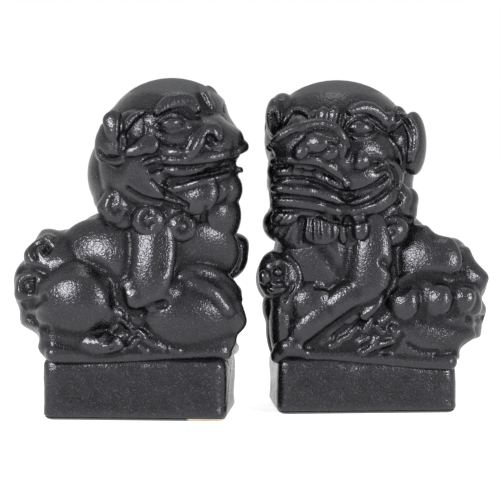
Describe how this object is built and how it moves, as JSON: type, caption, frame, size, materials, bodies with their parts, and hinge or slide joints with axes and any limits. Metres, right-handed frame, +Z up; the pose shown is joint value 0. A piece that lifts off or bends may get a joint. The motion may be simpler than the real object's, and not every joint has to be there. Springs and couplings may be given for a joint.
{
  "type": "guardian lion statue pair",
  "caption": "Pair of seated guardian lions in dark glazed stoneware on block plinths, heads turned, bookend style; one open-mouthed with a ball, one grinning with a cub.",
  "frame": {"origin": "middle of the pair's footprint box, on the surface that the plinths stand on", "axes": "+Z up, +X from the open-mouthed lion to the lion with the cub, -Y towards the viewer"},
  "size_m": [0.216, 0.0922, 0.1507],
  "materials": {
    "glaze_dark": "near-black crinkled stoneware glaze, satin gloss",
    "glaze_textured": "near-black glaze, leathery texture",
    "glaze_matt_crown": "thin matt grey-black glaze",
    "glaze_polished": "thick glossy near-black glaze",
    "bare_clay": "unglazed pale stoneware foot"
  },
  "bodies": {
    "male_lion": {"male_ball": "glaze_polished", "male_beard": "glaze_dark", "male_brows": "glaze_dark", "male_cheeks": "glaze_dark", "male_ears": "glaze_dark", "male_eyes": "glaze_polished", "male_foot_rim": "bare_clay", "male_forepaws": "glaze_dark", "male_hind_legs": "glaze_dark", "male_jaw": "glaze_dark", "male_left_forearm": "glaze_dark", "male_left_haunch": "glaze_dark", "male_left_upper_arm": "glaze_dark", "male_mane": "glaze_dark", "male_mane_curls": "glaze_dark", "male_muzzle": "glaze_dark", "male_nose": "glaze_dark", "male_plinth": "glaze_textured", "male_right_forearm": "glaze_dark", "male_right_haunch": "glaze_dark", "male_right_upper_arm": "glaze_dark", "male_rocks": "glaze_textured", "male_rump": "glaze_dark", "male_shoulders": "glaze_dark", "male_skull": "glaze_matt_crown", "male_tail": "glaze_dark", "male_torso": "glaze_dark", "male_upper_lip": "glaze_dark"},
    "female_lion": {"female_beard": "glaze_dark", "female_brows": "glaze_dark", "female_cheeks": "glaze_dark", "female_cub_body": "glaze_dark", "female_cub_head": "glaze_dark", "female_ears": "glaze_dark", "female_eyes": "glaze_polished", "female_foot_rim": "bare_clay", "female_forepaws": "glaze_dark", "female_hind_legs": "glaze_dark", "female_jaw": "glaze_dark", "female_left_forearm": "glaze_dark", "female_left_haunch": "glaze_dark", "female_left_upper_arm": "glaze_dark", "female_mane": "glaze_dark", "female_mane_curls": "glaze_dark", "female_muzzle": "glaze_dark", "female_nose": "glaze_dark", "female_plinth": "glaze_textured", "female_right_forearm": "glaze_dark", "female_right_haunch": "glaze_dark", "female_right_upper_arm": "glaze_dark", "female_rocks": "glaze_textured", "female_rump": "glaze_dark", "female_shoulders": "glaze_dark", "female_skull": "glaze_matt_crown", "female_tail": "glaze_dark", "female_teeth": "glaze_dark", "female_torso": "glaze_dark", "female_upper_lip": "glaze_dark"}
  },
  "joints": [
    {"name": "set_apart", "type": "slide", "parent": "male_lion", "child": "female_lion", "axis": [1, 0, 0], "range_m": [0, 0.1]}
  ]
}
